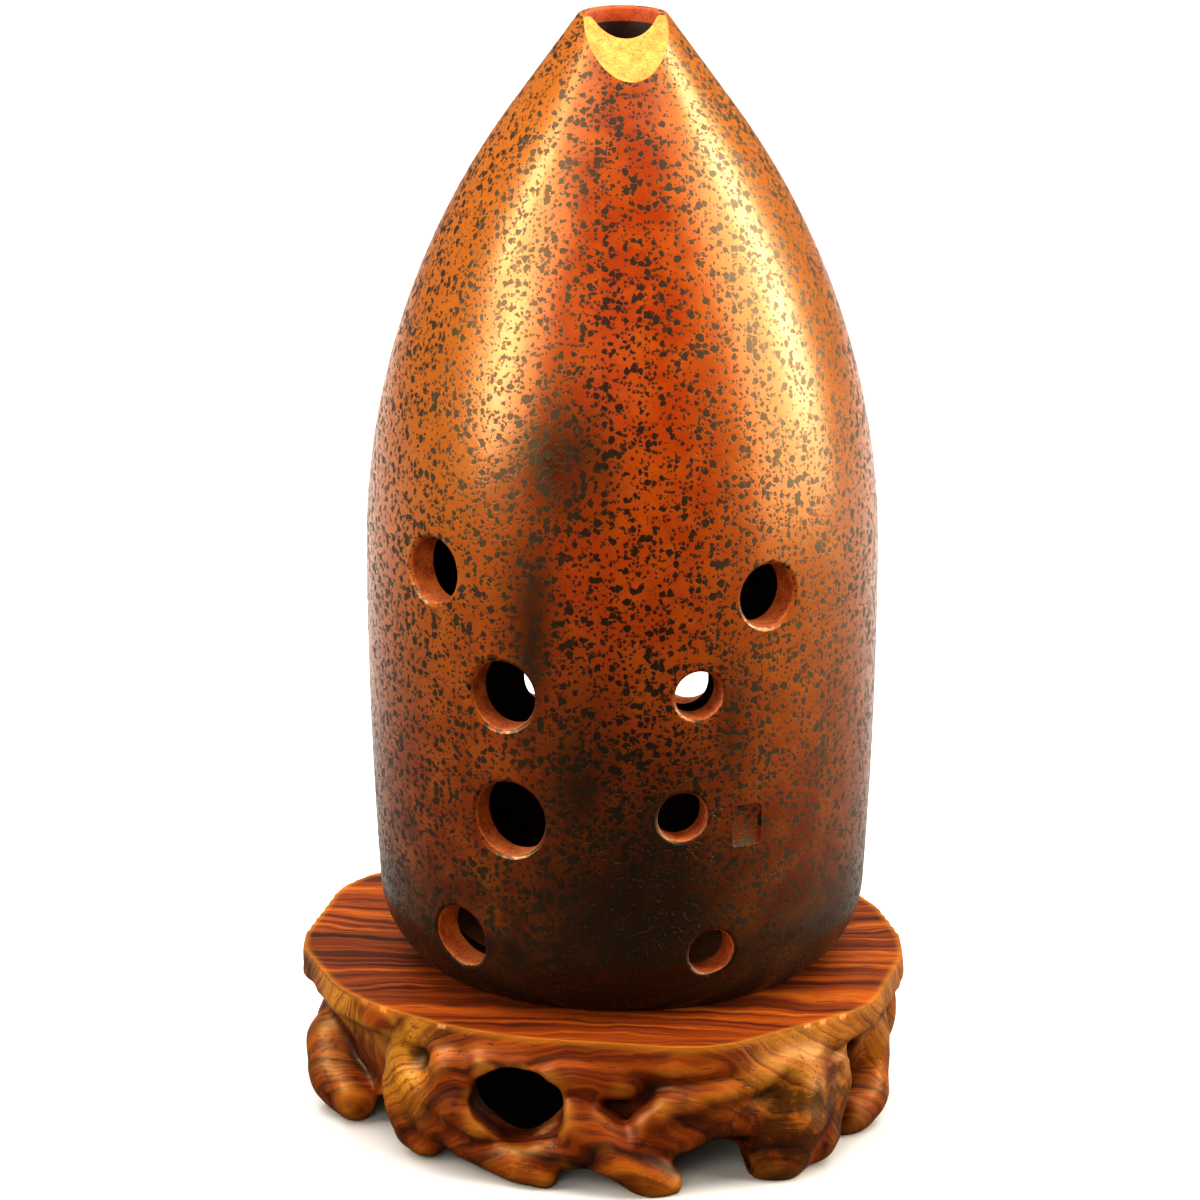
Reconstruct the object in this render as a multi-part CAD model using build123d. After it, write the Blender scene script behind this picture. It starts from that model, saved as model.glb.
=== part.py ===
from build123d import *
import math
import os

# A ten-hole pottery xun (a vessel flute with a notched mouth) on a root-carved wooden stand.
#
# The vessel is one fired clay wall, left open at the foot, with a clay disc luted into the opening.
# It stands loose on a flat table board, and the board is glued to a hollow ring carved as roots.
# Units are millimetres. +Z is up and the origin is the middle of the stand's footprint, on the ground.
# Azimuths are in degrees about a vertical axis: 0 faces the player's side (-Y) and 90 faces +X.

# ---------------------------------------------------------------- driving dimensions
# Vessel, outside
VESSEL_HEIGHT = 146.5        # foot to mouth rim
BELLY_RADIUS = 39.0          # widest
BELLY_HEIGHT = 64.0          # where the vessel is widest, above its foot
FOOT_RADIUS = 30.3           # edge of the flat that the vessel stands on
RIM_RADIUS = 6.6             # outside of the mouth rim
NECK_LENGTH = 17.217         # the straight cone below the rim, along its slope
BARREL_BEND = 800.0          # radius of the slight barrel below the belly
HEEL_BEND = 15.0             # radius of the rounding into the foot

# Vessel, inside
WALL = 4.4                   # clay thickness, square to the surface
MOUTH_RADIUS = 5.3           # the hole that is blown across
FOOT_FLAT = 4.3              # width of the flat ring of clay that the vessel stands on
FOOT_DISC_THICKNESS = 4.2
FOOT_DISC_RECESS = 0.8       # the disc's underside stays clear of the table
LUTING_GAP = 0.05            # slip between the disc and the opening, all round

# Mouth notch: a shallow round gouge that slopes down and out towards the player
NOTCH_AZIMUTH = 6.5
NOTCH_DEPTH = 8.0            # its lowest point on the outer face, below the rim
NOTCH_SLOPE = 36.0           # below level
NOTCH_BEND = 32.0            # radius of the gouge, across its own length

# Finger holes: name, azimuth, height above the foot and bore diameter
FINGER_HOLES = [
    ("left_index", -46.8, 68.0, 9.8),
    ("left_middle", -27.6, 51.0, 10.4),
    ("left_ring", -26.4, 31.8, 11.4),
    ("left_little", -41.4, 11.0, 9.4),
    ("right_index", 33.6, 65.8, 9.4),
    ("right_middle", 16.9, 51.8, 7.2),
    ("right_ring", 13.4, 33.0, 7.4),
    ("right_little", 21.1, 10.9, 7.0),
    ("left_thumb", -161.0, 34.0, 9.4),
    ("right_thumb", 164.0, 33.5, 9.4),
]
HOLE_EDGE_BEND = 0.7         # the clay edge of each hole, wiped round before firing

# Blank impressed stamp beside the right hand's holes
STAMP_AZIMUTH = 28.8
STAMP_HEIGHT = 30.6
STAMP_SIZE = (5.0, 6.6)
STAMP_CORNER = 1.0
STAMP_DEPTH = 0.35

# Stand
STAND_HEIGHT = 24.0
STAND_SIZE = 1.0             # multiplies every radius of the stand's plan
TABLE_THICKNESS = 4.5
TABLE_EDGE = 0.8             # rounding of the table's upper edge
VESSEL_OFFSET = 3.0          # the vessel stands this far to the right of the stand's middle
RING_INSET = 2.5             # the ring's outer face, in from the table's edge
RING_WALL = 8.0
RING_CLEARANCE = 4.0         # only the root feet reach below this height

# The table's outline, corner by corner: azimuth, radius and rounding
TABLE_CORNERS = [
    (-90, 47.3, 16), (-58, 46.2, 30), (-24, 44.8, 40), (19, 49.8, 14), (55, 49.8, 14),
    (88, 47.6, 30), (118, 48.0, 30), (148, 48.0, 30), (180, 46.9, 30), (-152, 48.4, 20),
    (-126, 51.0, 18),
]

# Root feet: name, azimuth and radius of the upper end and of the foot, then the two end radii
ROOT_FEET = [
    ("front", (21, 41.0), (8.0, 41.0), 5.4, 4.6),
    ("front_left", (-24, 37.5), (-17.0, 38.6), 5.4, 4.6),
    ("left_front", (-52, 38.0), (-46, 36.6), 6.4, 5.4),
    ("left", (-91, 40.2), (-84, 40.4), 6.4, 6.0),
    ("left_back", (-124, 41.5), (-130, 40.5), 6.2, 5.2),
    ("back_left", (-158, 39.0), (-164, 38.5), 6.2, 5.2),
    ("back", (172, 39.5), (166, 38.5), 6.0, 5.2),
    ("back_right", (140, 39.5), (134, 38.5), 6.2, 5.2),
    ("right_back", (94, 40.4), (98, 39.8), 6.2, 5.4),
    ("right", (74, 40.6), (68, 40.8), 5.8, 5.2),
    ("right_front", (44, 43.0), (37, 43.2), 6.2, 5.6),
]
ROOT_TOP = 12.0              # height of each root's upper end

# Oval holes through the ring: name, azimuth, height, width and height of the hole
PIERCINGS = [
    ("front_oval", -17.5, 12.6, 14.2, 12.2),
    ("right_slot", 60.0, 12.0, 7.5, 9.6),
    ("back_oval", 153.0, 11.8, 12.0, 10.6),
    ("left_slot", -108.0, 11.8, 8.0, 9.4),
]

# Arches between the feet, open to the ground: name, azimuth, width and height
ARCHES = [
    ("front_arch", 23.0, 11.0, 5.4),
    ("left_arch", -66.0, 9.0, 6.4),
    ("back_arch", -147.0, 9.0, 7.0),
    ("right_arch", 82.0, 9.0, 7.0),
]

# ---------------------------------------------------------------- derived sizes
TABLE_UNDERSIDE = STAND_HEIGHT - TABLE_THICKNESS
CHAMBER_FLOOR = FOOT_DISC_RECESS + FOOT_DISC_THICKNESS
FOOT_OPENING_RADIUS = FOOT_RADIUS - FOOT_FLAT
SHOULDER_RISE = VESSEL_HEIGHT - BELLY_HEIGHT
SHOULDER_SPREAD = BELLY_RADIUS - RIM_RADIUS
REACH = 2 * VESSEL_HEIGHT    # longer than anything it has to pass through

# The neck's slope from the vertical, in radians: an arc of this angle leaves the belly upright and
# runs into a straight cone of the neck's length that ends at the rim.
CONE_ANGLE = 2 * math.atan(SHOULDER_SPREAD / (SHOULDER_RISE + NECK_LENGTH))


def facing(azimuth):
    """The level direction that an azimuth faces."""
    angle = math.radians(azimuth)
    return Vector(math.sin(angle), -math.cos(angle), 0)


def plan_point(azimuth, radius, height=0.0):
    """A point of the stand, from its azimuth and its radius before STAND_SIZE."""
    return facing(azimuth) * (radius * STAND_SIZE) + Vector(0, 0, height)


# ---------------------------------------------------------------- the vessel's outline
def heel_centre():
    """Centre of the heel's arc, which runs from the foot's edge into the barrel's arc."""
    barrel = (BELLY_RADIUS - BARREL_BEND, BELLY_HEIGHT)
    across = FOOT_RADIUS - barrel[0]
    down = -barrel[1]
    span = math.hypot(across, down)
    gap = BARREL_BEND - HEEL_BEND
    along = (gap**2 - HEEL_BEND**2 + span**2) / (2 * span)
    aside = math.sqrt(gap**2 - along**2)
    x = barrel[0] + (across * along - down * aside) / span
    z = barrel[1] + (down * along + across * aside) / span
    return (x, z)


def shoulder_bend():
    """Radius of the arc that leaves the belly upright and meets the cone without a corner."""
    return (SHOULDER_RISE - NECK_LENGTH * math.cos(CONE_ANGLE)) / math.sin(CONE_ANGLE)


def on_arc(centre, radius, angle):
    """The point of an arc at an angle above level, in radians."""
    return (centre[0] + radius * math.cos(angle), centre[1] + radius * math.sin(angle))


def wall_arcs(depth):
    """The outer face moved inwards by depth: its three arcs as (centre, radius, from, to)."""
    heel = heel_centre()
    barrel = (BELLY_RADIUS - BARREL_BEND, BELLY_HEIGHT)
    shoulder = (BELLY_RADIUS - shoulder_bend(), BELLY_HEIGHT)
    foot_angle = math.atan2(-heel[1], FOOT_RADIUS - heel[0])
    heel_angle = math.atan2(heel[1] - barrel[1], heel[0] - barrel[0])
    return [
        (heel, HEEL_BEND - depth, foot_angle, heel_angle),
        (barrel, BARREL_BEND - depth, heel_angle, 0.0),
        (shoulder, shoulder_bend() - depth, 0.0, CONE_ANGLE),
    ]


def neck_line(depth, radius):
    """Height at which the cone, moved inwards by depth, has this radius."""
    return VESSEL_HEIGHT - depth / math.sin(CONE_ANGLE) + (RIM_RADIUS - radius) / math.tan(CONE_ANGLE)


def face_edges(depth, start_angle=None):
    """The three arcs of a face, as edges drawn in (radius, height), foot to neck."""
    edges = []
    for centre, radius, low, high in wall_arcs(depth):
        if start_angle is not None and not edges:
            low = start_angle
        edges.append(
            ThreePointArc(
                on_arc(centre, radius, low),
                on_arc(centre, radius, (low + high) / 2),
                on_arc(centre, radius, high),
            )
        )
    return edges


def turned(edges):
    """A closed outline in (radius, height), turned about the vessel's axis and set on the table."""
    upright = Plane.XZ * make_face(edges)
    return Pos(VESSEL_OFFSET, 0, STAND_HEIGHT) * revolve(upright, axis=Axis.Z)


def outer_radius(height):
    """The vessel's outside radius at a height above its foot."""
    heel, barrel, shoulder = wall_arcs(0.0)
    if height > on_arc(shoulder[0], shoulder[1], shoulder[3])[1]:
        return RIM_RADIUS + (VESSEL_HEIGHT - height) * math.tan(CONE_ANGLE)
    arc = shoulder
    if height < BELLY_HEIGHT:
        arc = barrel
    if height < on_arc(heel[0], heel[1], heel[3])[1]:
        arc = heel
    return arc[0][0] + math.sqrt(arc[1] ** 2 - (height - arc[0][1]) ** 2)


# ---------------------------------------------------------------- vessel
def make_turned_wall():
    """The bare wall: outer face, rim, mouth, inner face, the ledge inside the heel, and the foot."""
    outer = face_edges(0.0)
    heel, bend = heel_centre(), HEEL_BEND - WALL
    floor_angle = math.asin((CHAMBER_FLOOR - heel[1]) / bend)
    inner = face_edges(WALL, floor_angle)
    mouth_low = (MOUTH_RADIUS, neck_line(WALL, MOUTH_RADIUS))
    neck = [
        outer[-1] @ 1,
        (RIM_RADIUS, VESSEL_HEIGHT),
        (MOUTH_RADIUS, VESSEL_HEIGHT),
        mouth_low,
        inner[-1] @ 1,
    ]
    foot = [
        inner[0] @ 0,
        (FOOT_OPENING_RADIUS, CHAMBER_FLOOR),
        (FOOT_OPENING_RADIUS, 0),
        (FOOT_RADIUS, 0),
    ]
    return turned(outer + [Polyline(*neck)] + inner + [Polyline(*foot)])


def axis_plane(azimuth, height):
    """A plane through the vessel's axis at a height above the foot, facing out along an azimuth."""
    return Plane(
        origin=(VESSEL_OFFSET, 0, STAND_HEIGHT + height),
        x_dir=facing(azimuth + 90),
        z_dir=facing(azimuth),
    )


def finger_bore(azimuth, height, diameter):
    length = 2 * BELLY_RADIUS
    return axis_plane(azimuth, height) * Pos(0, 0, length / 2) * Cylinder(diameter / 2, length)


def mouth_notch():
    """The gouge that leaves the blowing edge: a long cylinder lying down the slope."""
    slope = math.radians(NOTCH_SLOPE)
    lowest = VESSEL_HEIGHT - NOTCH_DEPTH
    down = facing(NOTCH_AZIMUTH) * math.cos(slope) - Vector(0, 0, math.sin(slope))
    lift = facing(NOTCH_AZIMUTH) * math.sin(slope) + Vector(0, 0, math.cos(slope))
    touch = facing(NOTCH_AZIMUTH) * outer_radius(lowest)
    touch += Vector(VESSEL_OFFSET, 0, STAND_HEIGHT + lowest)
    return Plane(origin=touch + lift * NOTCH_BEND, z_dir=down) * Cylinder(NOTCH_BEND, BELLY_RADIUS)


def is_hole_mouth(edge, azimuth, height, diameter):
    """Does this edge lie on a bore and on the outer face at once?"""
    plane = axis_plane(azimuth, height)
    for share in (0.0, 0.2, 0.4, 0.6, 0.8):
        point = edge.position_at(share)
        local = plane.to_local_coords(point)
        off_bore = math.hypot(local.X, local.Y) - diameter / 2
        off_face = math.hypot(point.X - VESSEL_OFFSET, point.Y) - outer_radius(point.Z - STAND_HEIGHT)
        if local.Z < 0 or abs(off_bore) > 0.02 or abs(off_face) > 0.02:
            return False
    return True


def stamp_cut():
    """A plain round-cornered panel, pressed in along an azimuth."""
    start = outer_radius(STAMP_HEIGHT) - STAMP_DEPTH
    panel = RectangleRounded(*STAMP_SIZE, STAMP_CORNER)
    return axis_plane(STAMP_AZIMUTH, STAMP_HEIGHT) * Pos(0, 0, start) * extrude(panel, WALL)


def make_vessel_wall():
    wall = make_turned_wall() - mouth_notch()
    for name, azimuth, height, diameter in FINGER_HOLES:
        wall = wall - finger_bore(azimuth, height, diameter)
    holes = [hole[1:] for hole in FINGER_HOLES]
    mouths = [edge for edge in wall.edges() if any(is_hole_mouth(edge, *hole) for hole in holes)]
    return fillet(mouths, HOLE_EDGE_BEND) - stamp_cut()


def make_foot_disc():
    middle = STAND_HEIGHT + FOOT_DISC_RECESS + FOOT_DISC_THICKNESS / 2
    disc = Cylinder(FOOT_OPENING_RADIUS - LUTING_GAP, FOOT_DISC_THICKNESS)
    return Pos(VESSEL_OFFSET, 0, middle) * disc


# ---------------------------------------------------------------- stand
def stand_outline(inset):
    """The table's outline, moved in towards the middle: straight sides with rounded corners."""
    points = [plan_point(azimuth, radius - inset) for azimuth, radius, bend in TABLE_CORNERS]
    outline = make_face(Polyline(*points, close=True))
    for point, (azimuth, radius, bend) in zip(points, TABLE_CORNERS):
        corner = outline.vertices().sort_by_distance(point)[0]
        outline = fillet(corner, (bend - inset) * STAND_SIZE)
    return outline


def raised(outline, low, high):
    """A level outline, filled from one height to another."""
    return Pos(0, 0, low) * extrude(outline, amount=high - low, dir=(0, 0, 1))


def make_stand_table():
    board = raised(stand_outline(0.0), TABLE_UNDERSIDE, STAND_HEIGHT)
    return fillet(board.edges().group_by(Axis.Z)[-1], TABLE_EDGE)


def root_foot(upper, lower, upper_radius, lower_radius):
    """One root: a taper between two balls, its foot reaching a little below the ground."""
    start = plan_point(*upper, ROOT_TOP)
    end = plan_point(*lower, 0.6 * lower_radius)
    span = end - start
    lean = math.asin((upper_radius - lower_radius) / span.length)
    near = upper_radius * math.cos(lean)
    far = lower_radius * math.cos(lean)
    length = span.length + (lower_radius - upper_radius) * math.sin(lean)
    offset = upper_radius * math.sin(lean) + length / 2
    taper = Plane(origin=start, z_dir=span) * Pos(0, 0, offset) * Cone(near, far, length)
    return taper + Pos(*start) * Sphere(upper_radius) + Pos(*end) * Sphere(lower_radius)


def through_hole(azimuth, height, width, tall):
    """An oval cutter, from the stand's middle out past its edge."""
    plane = Plane(origin=(0, 0, height), x_dir=facing(azimuth + 90), z_dir=facing(azimuth))
    return extrude(plane * Ellipse(width / 2, tall / 2), REACH / 2)


def make_stand_ring():
    ring = raised(stand_outline(RING_INSET), RING_CLEARANCE, TABLE_UNDERSIDE)
    for name, upper, lower, upper_radius, lower_radius in ROOT_FEET:
        ring = ring + root_foot(upper, lower, upper_radius, lower_radius)
    ring = ring - raised(stand_outline(RING_INSET + RING_WALL), -REACH, TABLE_UNDERSIDE)
    for name, azimuth, height, width, tall in PIERCINGS:
        ring = ring - through_hole(azimuth, height, width, tall)
    for name, azimuth, width, tall in ARCHES:
        ring = ring - through_hole(azimuth, 0.0, width, 2 * tall)
    middle = TABLE_UNDERSIDE / 2
    return ring & Pos(0, 0, middle) * Box(REACH, REACH, TABLE_UNDERSIDE)


# ---------------------------------------------------------------- write the pieces
os.makedirs("parts", exist_ok=True)
PIECES = {
    "vessel_wall": make_vessel_wall,
    "foot_disc": make_foot_disc,
    "stand_table": make_stand_table,
    "stand_root_ring": make_stand_ring,
}
for node, make in PIECES.items():
    export_step(make(), f"parts/{node}.step")
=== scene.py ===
import math

import bmesh
import bpy
from mathutils import Matrix, Vector, noise


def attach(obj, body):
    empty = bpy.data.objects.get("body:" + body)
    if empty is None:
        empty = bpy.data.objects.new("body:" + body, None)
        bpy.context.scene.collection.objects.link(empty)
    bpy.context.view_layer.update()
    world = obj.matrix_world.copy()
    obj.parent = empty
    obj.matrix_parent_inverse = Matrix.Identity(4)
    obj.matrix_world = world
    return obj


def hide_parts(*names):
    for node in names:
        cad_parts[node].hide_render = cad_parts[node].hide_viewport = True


# A ten-hole pottery xun, glazed and speckled, standing on a small table carved from a root.
# Shapes are worked out in millimetres and laid down in metres. Azimuth 0 is the player's side (-Y),
# and 90 is +X.

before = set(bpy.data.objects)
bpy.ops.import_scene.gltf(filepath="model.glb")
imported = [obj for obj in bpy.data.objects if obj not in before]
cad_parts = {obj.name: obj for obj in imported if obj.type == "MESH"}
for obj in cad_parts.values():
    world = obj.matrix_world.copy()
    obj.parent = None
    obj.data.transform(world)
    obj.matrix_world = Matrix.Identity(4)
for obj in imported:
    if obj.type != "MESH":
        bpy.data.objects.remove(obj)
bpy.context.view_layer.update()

# ---------------------------------------------------------------- studio
# A plain pale floor under a white sky that only lights from behind. Tall soft lights stand at both
# sides of the vessel, split into ones that only gloss mirrors and washes that only matt surfaces
# take. A broad light hangs above.


def tint(red, green, blue):
    """A colour given on the usual 0 to 255 scale, as the linear one that the nodes take."""
    shares = [level / 255 for level in (red, green, blue)]
    linear = [s / 12.92 if s < 0.04045 else ((s + 0.055) / 1.055) ** 2.4 for s in shares]
    return (*linear, 1.0)


class Signal:
    """A socket of a node tree. Arithmetic on signals adds the Math nodes that it needs."""

    def __init__(self, tree, socket=None):
        self.tree = tree
        self.socket = socket

    def node(self, kind, settings=None, sockets=None, output=0):
        """Adds a node, sets it up, then fills or links its sockets."""
        made = self.tree.nodes.new(kind)
        for name, value in (settings or {}).items():
            if name == "stops":
                while len(made.color_ramp.elements) < len(value):
                    made.color_ramp.elements.new(0.5)
                for stop, (place, colour) in zip(made.color_ramp.elements, value):
                    stop.position = place
                    stop.color = colour
            else:
                setattr(made, name, value)
        for name, value in (sockets or {}).items():
            if isinstance(value, Signal):
                self.tree.links.new(value.socket, made.inputs[name])
            else:
                made.inputs[name].default_value = value
        return Signal(self.tree, made.outputs[output] if made.outputs else None)

    def other(self, name):
        """Another output of the same node."""
        return Signal(self.tree, self.socket.node.outputs[name])

    def math(self, operation, *values):
        return self.node("ShaderNodeMath", {"operation": operation}, dict(enumerate(values)))

    def __add__(self, other):
        return self.math("ADD", self, other)

    def __radd__(self, other):
        return self.math("ADD", other, self)

    def __sub__(self, other):
        return self.math("SUBTRACT", self, other)

    def __rsub__(self, other):
        return self.math("SUBTRACT", other, self)

    def __mul__(self, other):
        return self.math("MULTIPLY", self, other)

    def __rmul__(self, other):
        return self.math("MULTIPLY", other, self)

    def __truediv__(self, other):
        return self.math("DIVIDE", self, other)

    def __pow__(self, other):
        return self.math("POWER", self, other)

    def rise(self, low, high):
        """0 below low, 1 above high, and smooth between. It falls if low is the larger."""
        return self.node(
            "ShaderNodeMapRange",
            {"interpolation_type": "SMOOTHSTEP"},
            {"Value": self, "From Min": low, "From Max": high},
        )

    def mix(self, first, second):
        """From the first colour to the second as this signal goes from 0 to 1."""
        return self.node("ShaderNodeMix", {"data_type": "RGBA"}, {0: self, 6: first, 7: second}, 2)

    def ramp(self, *stops):
        return self.node("ShaderNodeValToRGB", {"stops": stops}, {0: self})

    def stretched(self, x, y, z):
        """A place with its three axes scaled."""
        return self.node("ShaderNodeVectorMath", {"operation": "MULTIPLY"}, {0: self, 1: (x, y, z)})

    def cloud(self, size, detail=2.0, roughness=0.5):
        """Soft noise over this place, from 0 to 1, with lumps about size across."""
        return self.node(
            "ShaderNodeTexNoise",
            {},
            {"Vector": self, "Scale": 1.0 / size, "Detail": detail, "Roughness": roughness},
        )


world = bpy.data.worlds.new("studio")
world.use_nodes = True
world.node_tree.nodes.clear()
sky = Signal(world.node_tree)
toward = sky.node("ShaderNodeTexCoord", output="Generated")
backward = toward.node("ShaderNodeSeparateXYZ", {}, {0: toward}, "Y")
sky_seen = sky.node("ShaderNodeLightPath", output="Is Camera Ray")
sky_level = sky_seen + (1.0 - sky_seen) * (0.03 + 0.34 * backward.rise(-0.05, 0.9))
sky_colour = sky_seen.mix(tint(255, 236, 206), tint(255, 253, 250))
dome = sky.node("ShaderNodeBackground", {}, {"Color": sky_colour, "Strength": sky_level})
sky.node("ShaderNodeOutputWorld", {}, {"Surface": dome})
bpy.context.scene.world = world
bpy.context.scene.view_settings.view_transform = "Standard"
bpy.context.scene.view_settings.gamma = 0.85


def finish_of(name):
    """An empty material's tree and the place on the piece, in millimetres."""
    material = bpy.data.materials.new(name)
    material.use_nodes = True
    material.node_tree.nodes.clear()
    start = Signal(material.node_tree)
    place = start.node("ShaderNodeTexCoord", output="Object")
    return material, place.stretched(1000, 1000, 1000)


def coat_with(signal, sockets):
    """Ends a material in one shader with these sockets."""
    shader = signal.node("ShaderNodeBsdfPrincipled", {}, sockets)
    signal.node("ShaderNodeOutputMaterial", {}, {"Surface": shader})


def bumps(height, depth):
    """A normal from a height signal, with depth in millimetres for a full swing of it."""
    return height.node(
        "ShaderNodeBump", {}, {"Height": height, "Distance": depth * 0.001, "Strength": 1.0}
    )


def piece_from(bm, name, materials, scale=0.001):
    """Turns a bmesh drawn in millimetres into an object in metres."""
    bmesh.ops.scale(bm, vec=(scale, scale, scale), verts=bm.verts)
    mesh = bpy.data.meshes.new(name)
    bm.to_mesh(mesh)
    bm.free()
    made = bpy.data.objects.new(name, mesh)
    bpy.context.scene.collection.objects.link(made)
    for material in materials:
        mesh.materials.append(material)
    return made


# The camera sees the floor white, except under the stand, where a painted shadow darkens it for every ray.
# Other rays also see it dark in front, so that it doesn't light the object from below.
FLOOR_SIDE = 6000.0
floor_paint, floor_place = finish_of("studio_floor")
behind = floor_place.node("ShaderNodeSeparateXYZ", {}, {0: floor_place}, "Y").rise(-60, 320)
floor_seen = floor_place.node("ShaderNodeLightPath", output="Is Camera Ray")
floor_light = floor_seen.math("MAXIMUM", floor_seen, behind * 0.9 + 0.04)
painted_shadow_reach = floor_place.node("ShaderNodeVectorMath", {"operation": "LENGTH"}, {0: floor_place}, "Value")
# Painted shadow: the floor under the stand is dark for every ray, including the camera's.
floor_light = floor_light * painted_shadow_reach.rise(20, 41)
floor_colour = floor_light.mix(tint(0, 0, 0), tint(246, 245, 243))
coat_with(floor_place, {"Base Color": floor_colour, "Roughness": 0.9})
bm = bmesh.new()
bmesh.ops.create_grid(bm, x_segments=1, y_segments=1, size=FLOOR_SIDE / 2)
floor = piece_from(bm, "studio_floor", [floor_paint])


def soft_light(name, place, aim, width, tall, power, colour):
    """A rectangular soft light at a place, turned to a point. Millimetres and watts."""
    lamp = bpy.data.lights.new(name, "AREA")
    lamp.shape = "RECTANGLE"
    lamp.size = width * 0.001
    lamp.size_y = tall * 0.001
    lamp.energy = power
    lamp.color = colour
    made = bpy.data.objects.new(name, lamp)
    made.location = Vector(place) * 0.001
    made.rotation_euler = (Vector(aim) - Vector(place)).to_track_quat("-Z", "Y").to_euler()
    bpy.context.scene.collection.objects.link(made)
    return made


for glint in (
    soft_light("left_upper", (-563, -80, 530), (0, 0, 130), 120, 300, 3.4, (1.0, 0.92, 0.72)),
    soft_light("left_lower", (-590, -305, 320), (0, 0, 120), 120, 300, 3.4, (1.0, 0.92, 0.72)),
    soft_light("left_glow", (-570, -300, 440), (0, 0, 130), 460, 520, 9.0, (1.0, 0.88, 0.62)),
    soft_light("right_core", (606, 60, 380), (0, 0, 100), 150, 500, 6.0, (1.0, 0.93, 0.76)),
    soft_light("right_glow", (620, -60, 330), (0, 0, 100), 580, 660, 16.0, (1.0, 0.88, 0.62)),
):
    glint.visible_diffuse = False
for wash in (
    soft_light("left_wash", (-560, -330, 450), (0, 0, 100), 300, 420, 2.0, (1.0, 0.94, 0.84)),
    soft_light("right_wash", (610, -160, 380), (0, 0, 100), 400, 420, 2.6, (1.0, 0.94, 0.84)),
    soft_light("front_wash", (-150, -900, 500), (0, 0, 80), 500, 500, 4.8, (1.0, 0.95, 0.86)),
):
    wash.visible_glossy = False
soft_light("top_light", (0, 220, 1200), (0, 200, 0), 1700, 1500, 36, (1.0, 1.0, 1.0))

CAMERA_PLACE = (-0.4, -866.0, 335.3)
CAMERA_DIP = 16.45
CAMERA_LENS = 177.2
camera_data = bpy.data.cameras.new("camera")
camera_data.sensor_width = 36.0
camera_data.lens = CAMERA_LENS
camera_data.clip_start = 0.05
camera_data.clip_end = 20.0
camera = bpy.data.objects.new("camera", camera_data)
camera.location = Vector(CAMERA_PLACE) * 0.001
camera.rotation_euler = (math.radians(90 - CAMERA_DIP), 0, 0)
bpy.context.scene.collection.objects.link(camera)
bpy.context.scene.camera = camera

# ---------------------------------------------------------------- vessel
# The body of the xun: one thrown and fired clay wall, open at the foot. The outside has a satin iron glaze,
# burnt orange and thick with black-brown specks. It is darker towards the foot, partly from kiln smoke and
# partly as painted shadow and painted reflection of the dark stand. Its upper sides carry a painted golden
# highlight, and the inside is painted near black as painted shade.

VESSEL_HEIGHT = 146.5
BELLY_RADIUS = 39.0
BELLY_HEIGHT = 64.0
FOOT_RADIUS = 30.3
RIM_RADIUS = 6.6
BARREL_BEND = 800.0
SHOULDER_BEND = 116.66
CONE_ANGLE = math.radians(36.0)
HEEL_BEND = 15.0
HEEL_CENTRE = (22.322, 12.703)
WALL = 4.4
MOUTH_RADIUS = 5.3
MOUTH_LOW = 140.8
RIM_BEND = 0.6
FOOT_OPENING_RADIUS = 26.0
CHAMBER_FLOOR = 5.0
ON_STAND = Vector((3.0, 0.0, 24.0))
TURNS = 240

BARREL_CENTRE = (BELLY_RADIUS - BARREL_BEND, BELLY_HEIGHT)
SHOULDER_CENTRE = (BELLY_RADIUS - SHOULDER_BEND, BELLY_HEIGHT)
FOOT_ANGLE = math.atan2(-HEEL_CENTRE[1], FOOT_RADIUS - HEEL_CENTRE[0])
HEEL_ANGLE = math.atan2(HEEL_CENTRE[1] - BARREL_CENTRE[1], HEEL_CENTRE[0] - BARREL_CENTRE[0])
HEEL_TOP = HEEL_CENTRE[1] + HEEL_BEND * math.sin(HEEL_ANGLE)
CONE_FOOT = BELLY_HEIGHT + SHOULDER_BEND * math.sin(CONE_ANGLE)


def outer_radius(height):
    """The vessel's outside radius at a height above its foot."""
    if height > CONE_FOOT:
        return RIM_RADIUS + (VESSEL_HEIGHT - height) * math.tan(CONE_ANGLE)
    centre, bend = SHOULDER_CENTRE, SHOULDER_BEND
    if height < BELLY_HEIGHT:
        centre, bend = BARREL_CENTRE, BARREL_BEND
    if height < HEEL_TOP:
        centre, bend = HEEL_CENTRE, HEEL_BEND
    return centre[0] + math.sqrt(bend**2 - (height - centre[1]) ** 2)


def swept(bm, corner, centre, angle, steps):
    """Sweeps a corner of an outline round a centre, in the X and Z plane. Returns the last corner."""
    made = bmesh.ops.spin(
        bm,
        geom=[corner],
        cent=(centre[0], 0, centre[1]),
        axis=(0, -1, 0),
        angle=angle,
        steps=steps,
    )
    return made["geom_last"][0]


def drawn(bm, corner, radius, height, cuts=0):
    """Draws a straight line from a corner of an outline, in pieces. Returns the last corner."""
    goal = Vector((radius, 0, height))
    step = (goal - corner.co) / (cuts + 1)
    for part in range(cuts + 1):
        corner = bmesh.ops.extrude_vert_indiv(bm, verts=[corner])["verts"][0]
        corner.co += step
    return corner


def on_vessel(bm):
    """Sets a shape that was drawn about the vessel's own axis down on the stand."""
    bmesh.ops.translate(bm, vec=ON_STAND, verts=bm.verts)


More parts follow.
